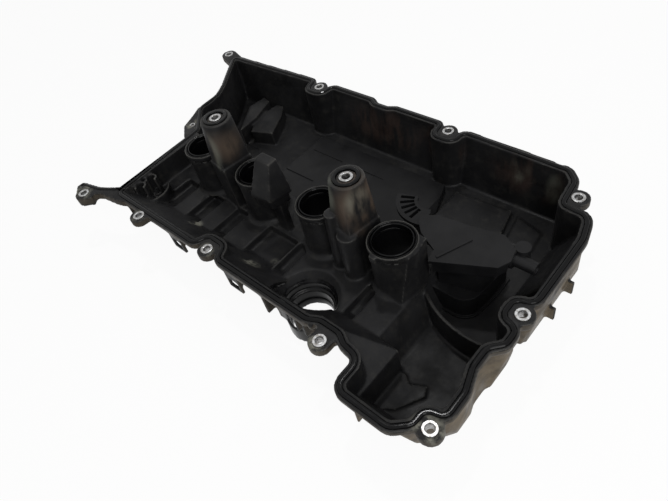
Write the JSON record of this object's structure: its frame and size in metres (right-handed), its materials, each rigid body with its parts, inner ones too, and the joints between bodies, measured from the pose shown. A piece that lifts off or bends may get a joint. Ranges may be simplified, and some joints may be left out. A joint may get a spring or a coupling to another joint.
{
  "type": "engine valve cover",
  "caption": "Moulded engine valve cover shown open side up, with a perimeter gasket, plug tubes, tall bolt columns, an oil separator and an oil filler hole.",
  "frame": {"origin": "middle of the bounding box in plan, at the lowest point of the outside, where the cover stands open side up", "axes": "+X along the row of plug tubes towards the separator end, +Y towards the deep trough side, +Z out of the open side"},
  "size_m": [0.55, 0.302, 0.1385],
  "materials": {
    "black_nylon": "oily matte with tan and grey stains, dusty outside",
    "baffle_nylon": "matte with an oil film",
    "rubber": "glossy wet black",
    "bushing_metal": "machined, bright rim"
  },
  "bodies": {
    "root": {"cover_shell": "black_nylon", "perimeter_gasket": "rubber", "spark_tube_seal_1": "rubber", "spark_tube_seal_2": "rubber", "spark_tube_seal_3": "rubber", "spark_tube_seal_4": "rubber", "column_seal_1": "rubber", "column_seal_2": "rubber", "column_bushing_1": "bushing_metal", "column_bushing_2": "bushing_metal", "flange_bushing_1": "bushing_metal", "flange_bushing_2": "bushing_metal", "flange_bushing_3": "bushing_metal", "flange_bushing_4": "bushing_metal", "flange_bushing_5": "bushing_metal", "flange_bushing_6": "bushing_metal", "flange_bushing_7": "bushing_metal", "flange_bushing_8": "bushing_metal", "flange_bushing_9": "bushing_metal", "flange_bushing_10": "bushing_metal", "tab_bushing": "bushing_metal", "separator_cover": "baffle_nylon", "separator_chamber": "baffle_nylon", "centre_baffle": "baffle_nylon", "vent_grille": "baffle_nylon"}
  },
  "joints": []
}
